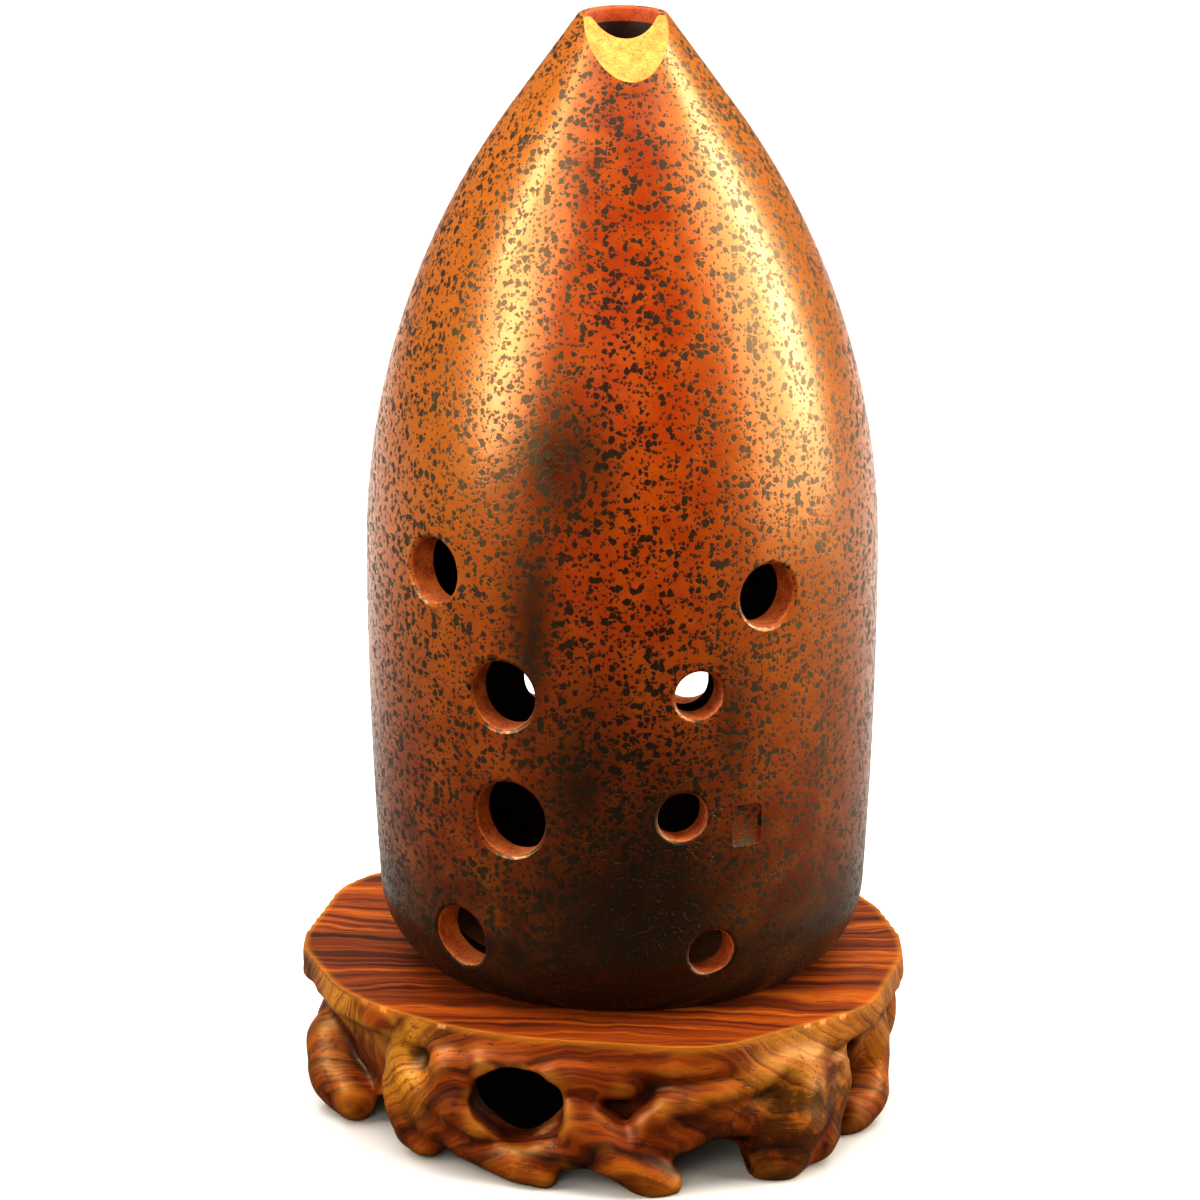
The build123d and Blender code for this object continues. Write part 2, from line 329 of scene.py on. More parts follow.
def turned_wall():
    """The closed outline of the wall, foot to rim outside and rim to foot inside, turned once."""
    bm = bmesh.new()
    first = bm.verts.new((FOOT_RADIUS, 0, 0))
    corner = swept(bm, first, HEEL_CENTRE, HEEL_ANGLE - FOOT_ANGLE, 14)
    corner = swept(bm, corner, BARREL_CENTRE, -HEEL_ANGLE, 34)
    corner = swept(bm, corner, SHOULDER_CENTRE, CONE_ANGLE, 56)
    rim_set_back = RIM_BEND * (1 - math.sin(CONE_ANGLE)) / math.cos(CONE_ANGLE)
    rim_centre = (RIM_RADIUS - rim_set_back, VESSEL_HEIGHT - RIM_BEND)
    edge_radius = rim_centre[0] + RIM_BEND * math.cos(CONE_ANGLE)
    edge_height = rim_centre[1] + RIM_BEND * math.sin(CONE_ANGLE)
    corner = drawn(bm, corner, edge_radius, edge_height, 14)
    corner = swept(bm, corner, rim_centre, math.pi / 2 - CONE_ANGLE, 4)
    lip_bend = 0.45
    corner = drawn(bm, corner, MOUTH_RADIUS + lip_bend, VESSEL_HEIGHT)
    corner = swept(bm, corner, (MOUTH_RADIUS + lip_bend, VESSEL_HEIGHT - lip_bend), math.pi / 2, 4)
    corner = drawn(bm, corner, MOUTH_RADIUS, MOUTH_LOW, 5)
    inner_bend = SHOULDER_BEND - WALL
    top_radius = SHOULDER_CENTRE[0] + inner_bend * math.cos(CONE_ANGLE)
    top_height = SHOULDER_CENTRE[1] + inner_bend * math.sin(CONE_ANGLE)
    corner = drawn(bm, corner, top_radius, top_height, 6)
    corner = swept(bm, corner, SHOULDER_CENTRE, -CONE_ANGLE, 24)
    corner = swept(bm, corner, BARREL_CENTRE, HEEL_ANGLE, 14)
    floor_angle = math.asin((CHAMBER_FLOOR - HEEL_CENTRE[1]) / (HEEL_BEND - WALL))
    corner = swept(bm, corner, HEEL_CENTRE, floor_angle - HEEL_ANGLE, 6)
    corner = drawn(bm, corner, FOOT_OPENING_RADIUS, CHAMBER_FLOOR)
    corner = drawn(bm, corner, FOOT_OPENING_RADIUS, 0.0, 1)
    corner = drawn(bm, corner, FOOT_RADIUS, 0.0)
    bmesh.ops.remove_doubles(bm, verts=bm.verts, dist=0.001)
    outline = bm.verts[:] + bm.edges[:]
    bmesh.ops.spin(
        bm, geom=outline, cent=(0, 0, 0), axis=(0, 0, 1), angle=math.tau, steps=TURNS, use_merge=True
    )
    bmesh.ops.recalc_face_normals(bm, faces=bm.faces)
    for face in bm.faces:
        middle = face.calc_center_median()
        inward = face.normal.dot(Vector((middle.x, middle.y, 0)).normalized()) < -0.3
        ledge = middle.z < 6 and middle.xy.length < 29 and face.normal.z > 0.5
        face.material_index = 1 if inward or ledge else 0
        if face.normal.z < -0.9:
            face.material_index = 2
        if inward and middle.z > 144.6:
            face.material_index = 3
    on_vessel(bm)
    return bm


# Darker patches of the glaze: azimuth, height above the foot, half width in degrees, half height in
# millimetres, and strength. Most are kiln smoke. The first, low on the player's side, is painted reflection
# of the dark room in front. The foot is also darkened all round, partly by smoke and partly as painted
# shadow where it stands on the board.
SMOKE_AND_SHADE_PATCHES = [
    (3, 20, 28, 24, 1.0),
    (-10, 38, 14, 20, 0.8),
    (-20, 60, 9, 26, 0.65),
    (-16, 86, 20, 15, 0.55),
    (24, 46, 8, 18, 0.5),
    (54, 8, 16, 9, 0.7),
    (118, 30, 30, 28, 0.7),
    (-112, 44, 22, 34, 0.6),
    (176, 82, 16, 22, 0.6),
]


def glaze():
    """The speckled iron glaze."""
    material, place = finish_of("glazed_clay")
    middle = place.node(
        "ShaderNodeVectorMath", {"operation": "SUBTRACT"}, {0: place, 1: tuple(ON_STAND)}
    )
    x = middle.node("ShaderNodeSeparateXYZ", {}, {0: middle}, "X")
    y = middle.node("ShaderNodeSeparateXYZ", {}, {0: middle}, "Y")
    z = middle.node("ShaderNodeSeparateXYZ", {}, {0: middle}, "Z")
    azimuth = x.math("ARCTAN2", x, 0.0 - y) * (180 / math.pi)

    drift = middle.stretched(1.0, 1.0, 0.55).cloud(12, 3)
    mottle = middle.cloud(5, 3)
    # The ramp darkens the glaze towards the foot: painted reflection of the dark stand below, and painted
    # shadow near the board.
    level = z / VESSEL_HEIGHT + (drift - 0.5) * 0.12
    body = level.ramp(
        (0.0, tint(24, 6, 2)),
        (0.06, tint(56, 17, 4)),
        (0.18, tint(124, 47, 11)),
        (0.34, tint(154, 62, 12)),
        (0.46, tint(168, 64, 9)),
        (0.64, tint(176, 64, 8)),
        (0.84, tint(164, 58, 9)),
        (1.0, tint(150, 58, 12)),
    )
    body = (mottle.rise(0.35, 0.75) * 0.3).mix(body, tint(224, 122, 22))
    # Painted highlight: the upper sides are mixed towards gold, as the glow around the side lights'
    # reflections.
    painted_side_glow = azimuth.math("ABSOLUTE", azimuth).rise(10, 46)
    body = (painted_side_glow * z.rise(25, 95) * 0.68).mix(body, tint(200, 122, 38))

    def patch(at_azimuth, at_height, half_width, half_height, strength):
        """A soft patch of the face, half sizes in degrees and millimetres, strongest in its middle."""
        across = azimuth.math("WRAP", azimuth - at_azimuth, 180, -180) / half_width
        up = (z - at_height) / half_height
        return strength - (across * across + up * up) ** 0.5

    # Darker all round near the foot: smoke, plus painted shadow where the vessel stands on the board.
    smoke_and_shade = 1.1 - z / 13
    for spot in SMOKE_AND_SHADE_PATCHES:
        smoke_and_shade = smoke_and_shade.math("MAXIMUM", smoke_and_shade, patch(*spot))
    smoke_and_shade = (smoke_and_shade + (drift - 0.5) * 1.2 + (mottle - 0.5) * 1.0).rise(-0.7, 0.95)
    body = (smoke_and_shade * 0.94).mix(body, tint(24, 6, 1))

    wander = middle.node("ShaderNodeTexNoise", {}, {"Vector": middle, "Scale": 1.3, "Detail": 1.0}, "Color")
    ragged = middle.node(
        "ShaderNodeVectorMath", {"operation": "MULTIPLY_ADD"}, {0: wander, 1: (0.9, 0.9, 0.6), 2: middle}
    )
    crowd = middle.cloud(8, 2) * 0.5 + 0.84 + smoke_and_shade * 0.3

    def specks(size, widest, turn):
        """Specks of many sizes, one in each cell of a loose lattice, the small ones the most."""
        place = ragged.node(
            "ShaderNodeVectorMath", {"operation": "ADD"}, {0: ragged, 1: (turn, turn, turn)}
        )
        away = place.node("ShaderNodeTexVoronoi", {}, {"Vector": place, "Scale": 1 / size}, "Distance")
        pick = place.node("ShaderNodeSeparateColor", {}, {0: away.other("Color")}, "Red")
        return (pick ** 1.5 * crowd * widest - away).rise(-0.02, 0.14)

    coarse = specks(1.05, 0.70, 0.0)
    fine = specks(0.56, 0.68, 31.0)
    speck = coarse.math("MAXIMUM", coarse, fine * 0.9)
    body = (speck * 0.97).mix(body, tint(12, 3, 1))
    peel = middle.cloud(1.6, 2) * 0.6 + middle.cloud(0.35, 1) * 0.15 - speck * 0.4
    gloss = 0.21 + 0.09 * mottle + 0.22 * speck
    coat_with(
        middle,
        {
            "Base Color": body,
            "Roughness": gloss,
            "IOR": 1.5,
            "Specular Tint": (1.0, 0.76, 0.48, 1.0),
            "Normal": bumps(peel, 0.03),
        },
    )
    return material


def bare_clay(name, dark, light, grain_size):
    """Unglazed fired clay: two close colours, sandy, with a fine bright and dark grain."""
    material, place = finish_of(name)
    blotch = place.cloud(2.6, 3)
    grain = place.cloud(grain_size, 2, 0.65)
    colour = (blotch * 0.5 + grain * 0.5).rise(0.32, 0.66).mix(dark, light)
    pits = place.cloud(grain_size * 1.7, 1).rise(0.66, 0.76)
    colour = (pits * 0.55).mix(colour, tint(96, 50, 24))
    relief = bumps(grain + pits * -0.6, 0.06)
    coat_with(place, {"Base Color": colour, "Roughness": 0.8, "IOR": 1.45, "Normal": relief})
    return material


glazed_clay = glaze()
# Painted shade: inside the chamber the same clay is painted near black, where little light reaches.
chamber_clay_painted_dark = bare_clay("chamber_clay_painted_dark", tint(34, 15, 8), tint(60, 30, 16), 0.5)
throat_clay = bare_clay("throat_clay", tint(186, 62, 14), tint(222, 98, 30), 0.5)
foot_clay = bare_clay("foot_clay", tint(150, 84, 44), tint(190, 122, 70), 0.45)
hole_clay = bare_clay("hole_clay", tint(156, 58, 16), tint(216, 118, 44), 0.45)
notch_clay = bare_clay("notch_clay", tint(206, 122, 38), tint(240, 176, 78), 0.4)

# Finger holes: azimuth, height above the foot and bore. They were cut with a tube while the clay was
# leather-hard and the edges wiped round with a wet finger, so the glaze rolls a little way in.
FINGER_HOLES = [
    (-46.8, 68.0, 9.8),
    (-27.6, 51.0, 10.4),
    (-26.4, 31.8, 11.4),
    (-41.4, 11.0, 9.4),
    (33.6, 65.8, 9.4),
    (16.9, 51.8, 7.2),
    (13.4, 33.0, 7.4),
    (21.1, 10.9, 7.0),
    (-161.0, 34.0, 9.4),
    (164.0, 33.5, 9.4),
]
HOLE_EDGE_BEND = 0.9
HOLE_EDGE_SWEEP = math.radians(75)


def facing(azimuth):
    """The level direction that an azimuth in degrees faces."""
    angle = math.radians(azimuth)
    return Vector((math.sin(angle), -math.cos(angle), 0))


def laid_on_face(bm, azimuth, height):
    """Bends a shape drawn on a flat (X across, Y up, Z out) onto the vessel's outer face."""
    out, across = facing(azimuth), facing(azimuth + 90)
    for vert in bm.verts:
        flat = vert.co.copy()
        skin = math.sqrt(outer_radius(height + flat.y) ** 2 - flat.x**2)
        vert.co = out * (skin + flat.z) + across * flat.x + Vector((0, 0, height + flat.y))
    on_vessel(bm)


def gathered(parts):
    """One bmesh out of several."""
    whole = bmesh.new()
    for part in parts:
        mesh = bpy.data.meshes.new("part")
        part.to_mesh(mesh)
        part.free()
        whole.from_mesh(mesh)
        bpy.data.meshes.remove(mesh)
    return whole


def hole_cutter(azimuth, height, bore):
    """What is taken out for one finger hole: a bore with a trumpet mouth that follows the face."""
    bm = bmesh.new()
    radius, bend = bore / 2, HOLE_EDGE_BEND
    start = math.pi - HOLE_EDGE_SWEEP
    edge = (radius + bend + bend * math.cos(start), -bend + bend * math.sin(start))
    corner = bm.verts.new((0, 0, 3))
    corner = drawn(bm, corner, edge[0] + 0.6, 3.0)
    corner = drawn(bm, corner, *edge)
    corner = swept(bm, corner, (radius + bend, -bend), HOLE_EDGE_SWEEP, 8)
    corner = drawn(bm, corner, radius, -9.0, 4)
    corner = drawn(bm, corner, 0.0, -9.0)
    outline = bm.verts[:] + bm.edges[:]
    bmesh.ops.spin(
        bm, geom=outline, cent=(0, 0, 0), axis=(0, 0, 1), angle=math.tau, steps=56, use_merge=True
    )
    bmesh.ops.remove_doubles(bm, verts=bm.verts, dist=0.001)
    bmesh.ops.recalc_face_normals(bm, faces=bm.faces)
    for face in bm.faces:
        face.material_index = 0 if face.calc_center_median().z > -0.45 * bend else 1
    laid_on_face(bm, azimuth, height)
    return bm


# The blowing notch: a shallow round gouge through the rim, sloping down and out towards the player.
# It is cut after glazing, so the sandy clay shows.
NOTCH_AZIMUTH = 6.5
NOTCH_DEPTH = 8.0
NOTCH_SLOPE = math.radians(36)
NOTCH_BEND = 32.0


def notch_cutter():
    bm = bmesh.new()
    bmesh.ops.create_cone(
        bm, cap_ends=True, segments=420, radius1=NOTCH_BEND, radius2=NOTCH_BEND, depth=60
    )
    lowest = VESSEL_HEIGHT - NOTCH_DEPTH
    out = facing(NOTCH_AZIMUTH)
    down = out * math.cos(NOTCH_SLOPE) - Vector((0, 0, math.sin(NOTCH_SLOPE)))
    lift = out * math.sin(NOTCH_SLOPE) + Vector((0, 0, math.cos(NOTCH_SLOPE)))
    touch = out * outer_radius(lowest) + Vector((0, 0, lowest))
    turn = down.to_track_quat("Z", "Y").to_matrix().to_4x4()
    bmesh.ops.transform(bm, matrix=Matrix.Translation(touch + lift * NOTCH_BEND) @ turn, verts=bm.verts)
    on_vessel(bm)
    return bm


# A plain blank stamp, pressed in beside the right hand's holes before firing.
STAMP_AZIMUTH = 28.8
STAMP_HEIGHT = 30.6
STAMP_SIZE = (5.0, 6.6)
STAMP_DEPTH = 0.35


def stamp_cutter():
    bm = bmesh.new()
    bmesh.ops.create_grid(bm, x_segments=1, y_segments=1, size=0.5)
    bmesh.ops.scale(bm, vec=(*STAMP_SIZE, 1), verts=bm.verts)
    bmesh.ops.bevel(
        bm, geom=bm.verts[:], offset=1.0, segments=5, profile=0.5, affect="VERTICES", material=-1
    )
    block = bmesh.ops.extrude_face_region(bm, geom=bm.faces[:])
    top = [item for item in block["geom"] if isinstance(item, bmesh.types.BMVert)]
    bmesh.ops.translate(bm, vec=(0, 0, 2.0), verts=top)
    bmesh.ops.translate(bm, vec=(0, 0, -STAMP_DEPTH), verts=bm.verts)
    bmesh.ops.recalc_face_normals(bm, faces=bm.faces)
    floor_edges = [e for e in bm.edges if all(abs(v.co.z + STAMP_DEPTH) < 1e-4 for v in e.verts)]
    bmesh.ops.bevel(
        bm, geom=floor_edges, offset=0.15, segments=2, profile=0.5, affect="EDGES", material=-1
    )
    laid_on_face(bm, STAMP_AZIMUTH, STAMP_HEIGHT)
    return bm


def as_meshed(piece):
    """Fixes a piece's modifiers into its mesh."""
    graph = bpy.context.evaluated_depsgraph_get()
    mesh = bpy.data.meshes.new_from_object(piece.evaluated_get(graph))
    piece.modifiers.clear()
    piece.data = mesh
    return mesh


def cut_away(piece, cutters):
    """Takes cutters out of a piece. The cut faces keep the cutters' finish."""
    for cutter in cutters:
        cut = piece.modifiers.new("cut", "BOOLEAN")
        cut.operation = "DIFFERENCE"
        cut.solver = "MANIFOLD"
        cut.material_mode = "TRANSFER"
        cut.object = cutter
    mesh = as_meshed(piece)
    for cutter in cutters:
        bpy.data.objects.remove(cutter)
    return mesh


def soft_edges(mesh, crease):
    """Shades a mesh smooth, with hard edges where it turns by more than crease or changes finish."""
    bm = bmesh.new()
    bm.from_mesh(mesh)
    for face in bm.faces:
        face.smooth = True
    for edge in bm.edges:
        two = len(edge.link_faces) == 2
        same = two and edge.link_faces[0].material_index == edge.link_faces[1].material_index
        edge.smooth = two and edge.calc_face_angle(0) < math.radians(crease if same else 12)
    bm.to_mesh(mesh)
    bm.free()


vessel = piece_from(turned_wall(), "vessel_body", [glazed_clay, chamber_clay_painted_dark, foot_clay, throat_clay])
holes = gathered([hole_cutter(*hole) for hole in FINGER_HOLES])
hole_tool = piece_from(holes, "hole_tool", [glazed_clay, hole_clay])
notch_tool = piece_from(notch_cutter(), "notch_tool", [notch_clay])
stamp_tool = piece_from(stamp_cutter(), "stamp_tool", [glazed_clay])
soft_edges(cut_away(vessel, [hole_tool, notch_tool, stamp_tool]), 40)
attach(vessel, "vessel")
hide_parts("vessel_wall")

# ---------------------------------------------------------------- foot disc
# A round slab of the same clay, luted into the open foot before firing and left bare. It closes the
# air chamber and stays a little clear of the table.
foot_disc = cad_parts["foot_disc"]
foot_disc.data.materials.clear()
foot_disc.data.materials.append(foot_clay)

# ---------------------------------------------------------------- stand board
# The stand is a little table carved out of the burl end of a root, oiled and rubbed to a satin. The
# whole block is shaped here. The flat board that the vessel stands on is its top 4.5 mm.

STAND_HEIGHT = 24.0
TABLE_UNDERSIDE = 19.5
TABLE_CORNERS = [
    (-90, 47.3, 16), (-58, 46.2, 30), (-24, 44.8, 40), (19, 49.8, 14), (55, 49.8, 14),
    (88, 47.6, 30), (118, 48.0, 30), (148, 48.0, 30), (180, 46.9, 30), (-152, 48.4, 20),
    (-126, 51.0, 18),
]


def table_outline(bm, inset, height):
    """Adds the board's outline, moved in by inset, as one level face with rounded corners."""
    spots = [facing(azimuth) * (radius - inset) for azimuth, radius, bend in TABLE_CORNERS]
    corners = [bm.verts.new((spot.x, spot.y, height)) for spot in spots]
    bm.faces.new(corners)
    for index, (azimuth, radius, bend) in enumerate(TABLE_CORNERS):
        before = (spots[index] - spots[index - 1]).normalized()
        after = (spots[(index + 1) % len(spots)] - spots[index]).normalized()
        reach = max(bend - inset, 3) * math.tan(before.angle(after) / 2)
        bmesh.ops.bevel(
            bm, geom=[corners[index]], offset=reach, segments=10, profile=0.5, affect="VERTICES",
            material=-1,
        )


def slab(inset, low, high, top_inset=None):
    """The outline filled from one height to another, with its own inset at the top if one is given."""
    bm = bmesh.new()
    table_outline(bm, inset, low)
    block = bmesh.ops.extrude_face_region(bm, geom=bm.faces[:])
    top = [item for item in block["geom"] if isinstance(item, bmesh.types.BMVert)]
    bmesh.ops.translate(bm, vec=(0, 0, high - low), verts=top)
    if top_inset is not None:
        for vert in top:
            vert.co.xy -= vert.co.xy.normalized() * (top_inset - inset)
    bmesh.ops.recalc_face_normals(bm, faces=bm.faces)
    return bm


def root(*balls):
    """A carved root: balls of (azimuth, radius out, height, own radius), each hulled to the next."""
    parts = []
    for near, far in zip(balls, balls[1:]):
        bm = bmesh.new()
        for azimuth, out, height, size in (near, far):
            place = facing(azimuth) * out + Vector((0, 0, height))
            bmesh.ops.create_icosphere(bm, subdivisions=3, radius=size, matrix=Matrix.Translation(place))
        hull = bmesh.ops.convex_hull(bm, input=bm.verts[:])
        inside = [item for item in hull["geom_interior"] if isinstance(item, bmesh.types.BMVert)]
        bmesh.ops.delete(bm, geom=inside, context="VERTS")
        parts.append(bm)
    return gathered(parts)


def bored(azimuth, height, width, tall, lean=0.0, flare=1.0, aim=None):
    """An oval hole through the ring, leaning by some degrees, wider outside by flare. It is cut
    straight towards the axis, or along another azimuth if aim gives one."""
    bm = bmesh.new()
    bmesh.ops.create_cone(
        bm, cap_ends=True, segments=56, radius1=0.5, radius2=0.5 * flare, depth=30.0
    )
    bmesh.ops.scale(bm, vec=(width, tall, 1), verts=bm.verts)
    leant = Matrix.Rotation(math.radians(lean), 3, "Z")
    bmesh.ops.rotate(bm, cent=(0, 0, 0), matrix=leant, verts=bm.verts)
    way = azimuth if aim is None else aim
    out, across = facing(way), facing(way + 90)
    middle = facing(azimuth) * 40 + Vector((0, 0, height))
    turn = Matrix((across, (0, 0, 1), out)).transposed().to_4x4()
    bmesh.ops.transform(bm, matrix=Matrix.Translation(middle) @ turn, verts=bm.verts)
    bmesh.ops.recalc_face_normals(bm, faces=bm.faces)
    return bm


# The board, the wall under it, then the roots: the player's side first, from the right hand's foot to
# the left end, then the right end, then the far side.
STAND_PARTS = [
    slab(0.0, TABLE_UNDERSIDE, STAND_HEIGHT),
    slab(6.6, 9.0, 20.5, 1.2),
    slab(7.0, 5.0, 12.0),
    root((40, 43.5, 17, 6.0), (39, 44.0, 10, 6.6), (37, 43.4, 3.6, 5.6)),
    root((49, 43.0, 15, 5.4), (46, 43.4, 4.6, 5.0)),
    root((44, 46.6, 20.4, 1.7), (30, 47.2, 17.4, 2.0), (20, 46.6, 15.8, 2.3), (12.5, 45.4, 13.8, 2.5)),
    root((12.5, 45.4, 13.8, 2.5), (8.8, 44.4, 11.2, 2.6), (7.4, 43.6, 8.4, 2.6), (9.5, 43.2, 6.2, 2.3)),
    root((13, 41.8, 9.8, 4.8), (24, 42.4, 12.2, 5.0), (34, 42.4, 12.0, 5.2)),
    root((-9, 40.6, 13.5, 4.2), (-3, 42.0, 9.6, 4.2), (4, 43.0, 5.4, 4.2)),
    root((4, 43.0, 5.4, 4.2), (10, 43.8, 2.6, 3.4), (14, 44.3, 1.2, 1.8)),
    root((-40, 39.0, 8.0, 4.2), (-28, 39.8, 4.8, 3.4), (-18, 40.8, 3.4, 3.4), (-12.5, 41.8, 1.8, 2.4)),
    root((-18, 40.8, 4.2, 3.0), (-5, 41.8, 6.2, 3.0)),
    root((-46, 38.6, 16, 5.0), (-47, 38.8, 10, 5.0), (-45, 38.6, 5.2, 4.6), (-42, 39.2, 3.2, 3.2)),
    root((-44, 39.4, 12, 5.0), (-30, 40.4, 12, 5.0), (-26, 40.6, 10, 4.4)),
    root((-32, 40.6, 17, 4.6), (-38, 39.8, 8, 4.6)),
    root((-24, 41.4, 18.4, 3.6), (-10, 41.6, 18.2, 3.4), (4, 41.6, 17.6, 3.4)),
    root((-86, 35.0, 17, 4.0), (-82, 41.4, 10.2, 4.9), (-78, 41.2, 4.8, 5.0), (-71, 40.4, 4.0, 4.0)),
    root((-104, 38.0, 16, 4.2), (-98, 40.8, 9.5, 4.4), (-92, 40.6, 4.0, 4.2)),
    root((70, 41.0, 16, 5.2), (73, 42.0, 9.6, 4.4), (69, 42.2, 4.2, 4.4), (64, 41.6, 3.0, 3.6)),
    root((90, 40.2, 17, 5.0), (92, 41.6, 11.8, 4.6), (97, 38.6, 4.6, 4.6)),
    root((-124, 41.4, 14, 5.8), (-128, 40.6, 3.4, 5.2)),
    root((-112, 42.6, 16, 3.6), (-117, 43.2, 10, 3.4), (-126, 42.6, 6, 3.4)),
    root((-158, 39.4, 14, 5.8), (-164, 38.6, 3.4, 5.2)),
    root((172, 39.6, 14, 5.6), (166, 38.6, 3.4, 5.2)),
    root((166, 41.6, 15, 3.4), (158, 42.4, 9, 3.2), (160, 41.0, 4.6, 3.2)),
    root((140, 39.6, 14, 5.8), (134, 38.6, 3.4, 5.2)),
    root((118, 40.4, 16, 5.4), (112, 41.4, 9.5, 4.6), (108, 39.6, 4.4, 4.4)),
]
# The hollow inside, the holes carved through the ring, then the arches between its feet.
STAND_HOLES = [
    slab(10.4, -5.0, 20.1),
    bored(-18.2, 13.0, 14.6, 12.4, 0, 1.0, -3),
    bored(-19.0, 10.6, 9.6, 9.6, 0, 0.9, -3),
    bored(57.5, 12.8, 6.2, 13.6, 38, 1.1),
    bored(153, 11.8, 12.0, 10.6, 10, 1.1),
    bored(-107, 11.0, 7.4, 9.4, -16, 1.1),
    bored(23, 0.8, 12.4, 11.4),
    bored(-4.6, -0.6, 7.4, 7.4),
    bored(-59, 0.0, 9.0, 13.0),
    bored(-147, 0.0, 9.0, 14.0),
    bored(83, 0.0, 9.0, 14.0),
    bored(-178, 0.0, 8.0, 10.0),
    bored(122, 0.0, 9.0, 11.0),
]


def remeshed(piece):
    """Draws one even skin round everything in a piece."""
    skin = piece.modifiers.new("skin", "REMESH")
    skin.mode = "VOXEL"
    skin.voxel_size = 0.6
    as_meshed(piece)


def rubbed(bm, verts, factor):
    """Moves points towards the middle of their neighbours."""
    bmesh.ops.smooth_vert(
        bm, verts=verts, factor=factor, use_axis_x=True, use_axis_y=True, use_axis_z=True
    )


def carved(mesh):
    """Rubs the voxel skin down, adds the shallow hollows that the gouge left, and marks how sunk each point
    is, in millimetres, for the painted shade in the hollows and the painted highlight on the ridges."""
    bm = bmesh.new()
    bm.from_mesh(mesh)
    for rub in range(7):
        rubbed(bm, [vert for vert in bm.verts if vert.co.z < 22.6], 0.5)
    rubbed(bm, bm.verts, 0.5)
    bm.normal_update()
    for vert in bm.verts:
        fade = min(1.0, max(0.0, (23.0 - vert.co.z) / 3.0))
        scoop = noise.voronoi(vert.co / 6.5)[0][0]
        ripple = noise.noise(vert.co / 3.1)
        vert.co += vert.normal * (fade * ((scoop - 0.35) * 0.75 + ripple * 0.22))
    for vert in bm.verts:
        if vert.co.z > 23.65:
            vert.co.z = STAND_HEIGHT
        vert.co.z = max(vert.co.z, 0.0)
    bm.normal_update()
    hollow = bm.verts.layers.float.new("hollow")
    kept = [vert.co.copy() for vert in bm.verts]
    for rub in range(14):
        rubbed(bm, bm.verts, 1.0)
    for vert, place in zip(bm.verts, kept):
        vert[hollow] = (vert.co - place).dot(vert.normal)
        vert.co = place
    bm.to_mesh(mesh)
    bm.free()


def sawn(mesh, above):
    """The part of a mesh above or below the joint between board and ring, closed at the joint."""
    bm = bmesh.new()
    bm.from_mesh(mesh)
    made = bmesh.ops.bisect_plane(
        bm,
        geom=bm.verts[:] + bm.edges[:] + bm.faces[:],
        dist=0.0001,
        plane_co=(0, 0, TABLE_UNDERSIDE),
        plane_no=(0, 0, 1),
        clear_inner=above,
        clear_outer=not above,
    )
    cut = [item for item in made["geom_cut"] if isinstance(item, bmesh.types.BMEdge)]
    bmesh.ops.triangle_fill(bm, use_beauty=True, edges=cut)
    bmesh.ops.recalc_face_normals(bm, faces=bm.faces)
    return bm


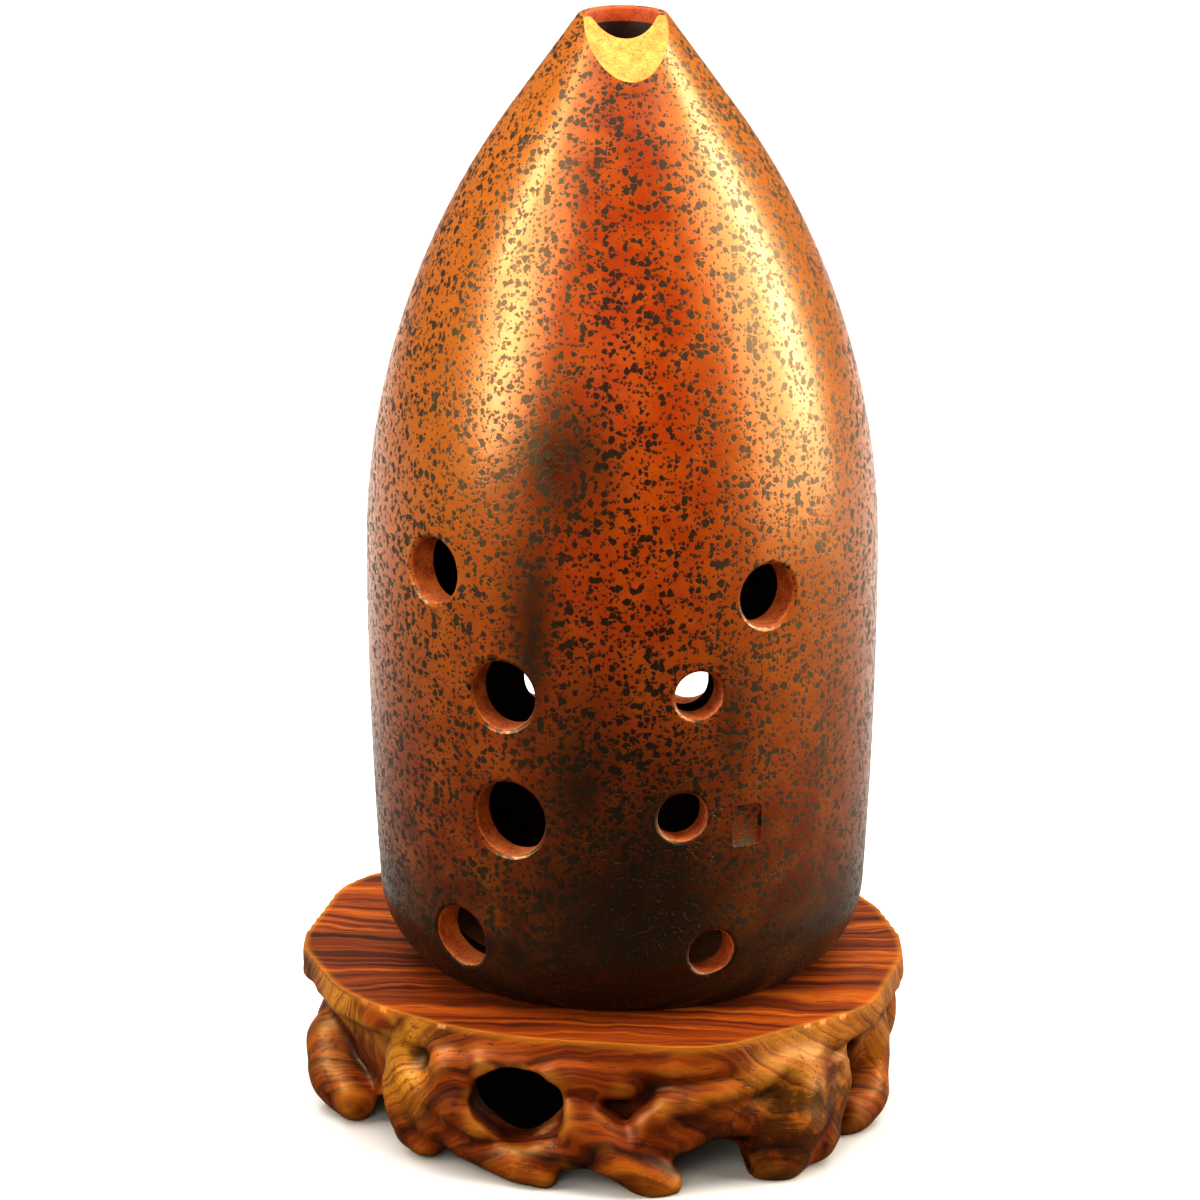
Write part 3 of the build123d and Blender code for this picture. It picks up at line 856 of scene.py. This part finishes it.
def wood(name, dark_share, gloss):
    """Oiled root wood: rings that run left to right, and pale patches high on the outside, partly sapwood
    and partly painted highlight on the upper facets. Its hollows carry painted shade and its ridges painted
    highlight.
    """
    material, place = finish_of(name)
    x = place.node("ShaderNodeSeparateXYZ", {}, {0: place}, "X")
    y = place.node("ShaderNodeSeparateXYZ", {}, {0: place}, "Y")
    z = place.node("ShaderNodeSeparateXYZ", {}, {0: place}, "Z")
    sway = place.stretched(0.35, 1.0, 1.0).cloud(26, 2)
    knot = place.cloud(9, 2)
    depth = ((y + 150) * (y + 150) + (z + 70) * (z + 70)) ** 0.5
    depth = depth + (sway - 0.5) * 13 + (knot - 0.5) * 3.2 + x * 0.04
    flow = place.node("ShaderNodeCombineXYZ", {}, {"X": x * 0.018, "Y": depth, "Z": 0.0})
    bands = flow.cloud(2.6, 4, 0.62)
    lines = flow.cloud(0.8, 3, 0.6)
    grain = bands * 0.66 + lines * 0.34
    colour = grain.ramp(
        (0.37, tint(38, 10, 2)),
        (0.43, tint(84, 28, 5)),
        (0.50, tint(142, 58, 9)),
        (0.58, tint(188, 90, 15)),
        (0.69, tint(222, 134, 32)),
    )
    azimuth = x.math("ARCTAN2", x, 0.0 - y) * (180 / math.pi)
    reach = (x * x + y * y) ** 0.5
    outside = (reach + (knot - 0.5) * 9).rise(39.5, 44.5)
    left = azimuth.rise(-84, -70) * azimuth.rise(-30, -44)
    right = azimuth.rise(14, 34) * azimuth.rise(118, 96)
    # Pale patches at the left and right, high on the outside: partly sapwood and partly painted highlight
    # on the upper facets.
    sap_and_highlight_patches = outside * left.math("MAXIMUM", left, right * 0.5) * knot.rise(0.36, 0.52)
    sap_and_highlight_patches = sap_and_highlight_patches * (23.9 - z).rise(0.0, 0.6) * z.rise(4, 15)
    sap_and_highlight_colour = lines.rise(0.34, 0.58).mix(tint(176, 88, 18), tint(244, 172, 48))
    colour = (sap_and_highlight_patches * 0.8).mix(colour, sap_and_highlight_colour)
    across = (azimuth - 38) / 17
    up = (z - 9.5) / 8
    front_foot = (1.0 - (across * across + up * up) ** 0.5).rise(-0.3, 0.5)
    burl = (place.cloud(3.0, 6, 0.65) + front_foot * 0.16).rise(0.52, 0.72) * (24.0 - z).rise(3, 8)
    colour = (burl * 0.75 * dark_share).mix(colour, tint(34, 12, 6))
    fibre = place.stretched(0.12, 1.0, 1.0).cloud(0.42, 2, 0.6)
    pores = place.stretched(0.10, 1.0, 1.0).cloud(0.62, 1).rise(0.66, 0.72)
    colour = (fibre.rise(0.35, 0.7) * 0.22).mix(colour, tint(84, 32, 12))
    colour = (pores * 0.55).mix(colour, tint(44, 15, 7))
    sunk = place.node("ShaderNodeAttribute", {"attribute_name": "hollow"}, output="Fac")
    # Painted shade: sunk points are darkened, as if shade gathered in the hollows.
    colour = ((sunk + (knot - 0.5) * 0.3).rise(0.0, 0.5) * 0.85).mix(colour, tint(30, 9, 2))
    # Painted highlight: raised points are lightened to gold, as if light caught the ridges.
    colour = (sunk.rise(-0.12, -0.6) * 0.4).mix(colour, tint(236, 156, 46))
    coat_with(
        place,
        {
            "Base Color": colour,
            "Roughness": gloss + 0.12 * fibre + 0.1 * pores,
            "IOR": 1.42,
            "Specular IOR Level": 0.32,
            "Specular Tint": (1.0, 0.84, 0.60, 1.0),
            "Normal": bumps(fibre * 0.5 + lines * 0.5 - pores * 0.7, 0.06),
        },
    )
    return material


table_wood = wood("table_wood", 0.4, 0.40)
stand = piece_from(gathered(STAND_PARTS), "stand_block", [table_wood], 1.0)
hollows = piece_from(gathered(STAND_HOLES), "stand_hollows", [table_wood], 1.0)
remeshed(stand)
remeshed(hollows)
cut_away(stand, [hollows])
remeshed(stand)
carved(stand.data)
board = piece_from(sawn(stand.data, True), "table_board", [table_wood])
soft_edges(board.data, 60)
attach(board, "stand")
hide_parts("stand_table")

# ---------------------------------------------------------------- stand ring
# The hollow ring of roots under the board, from the same carved block, with holes carved through it
# and arches between its feet. Its figure has more dark burl, and it is rubbed less smooth.
root_wood = wood("root_wood", 1.0, 0.42)
ring = piece_from(sawn(stand.data, False), "root_ring", [root_wood])
bpy.data.objects.remove(stand)
soft_edges(ring.data, 60)
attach(ring, "stand")
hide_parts("stand_root_ring")
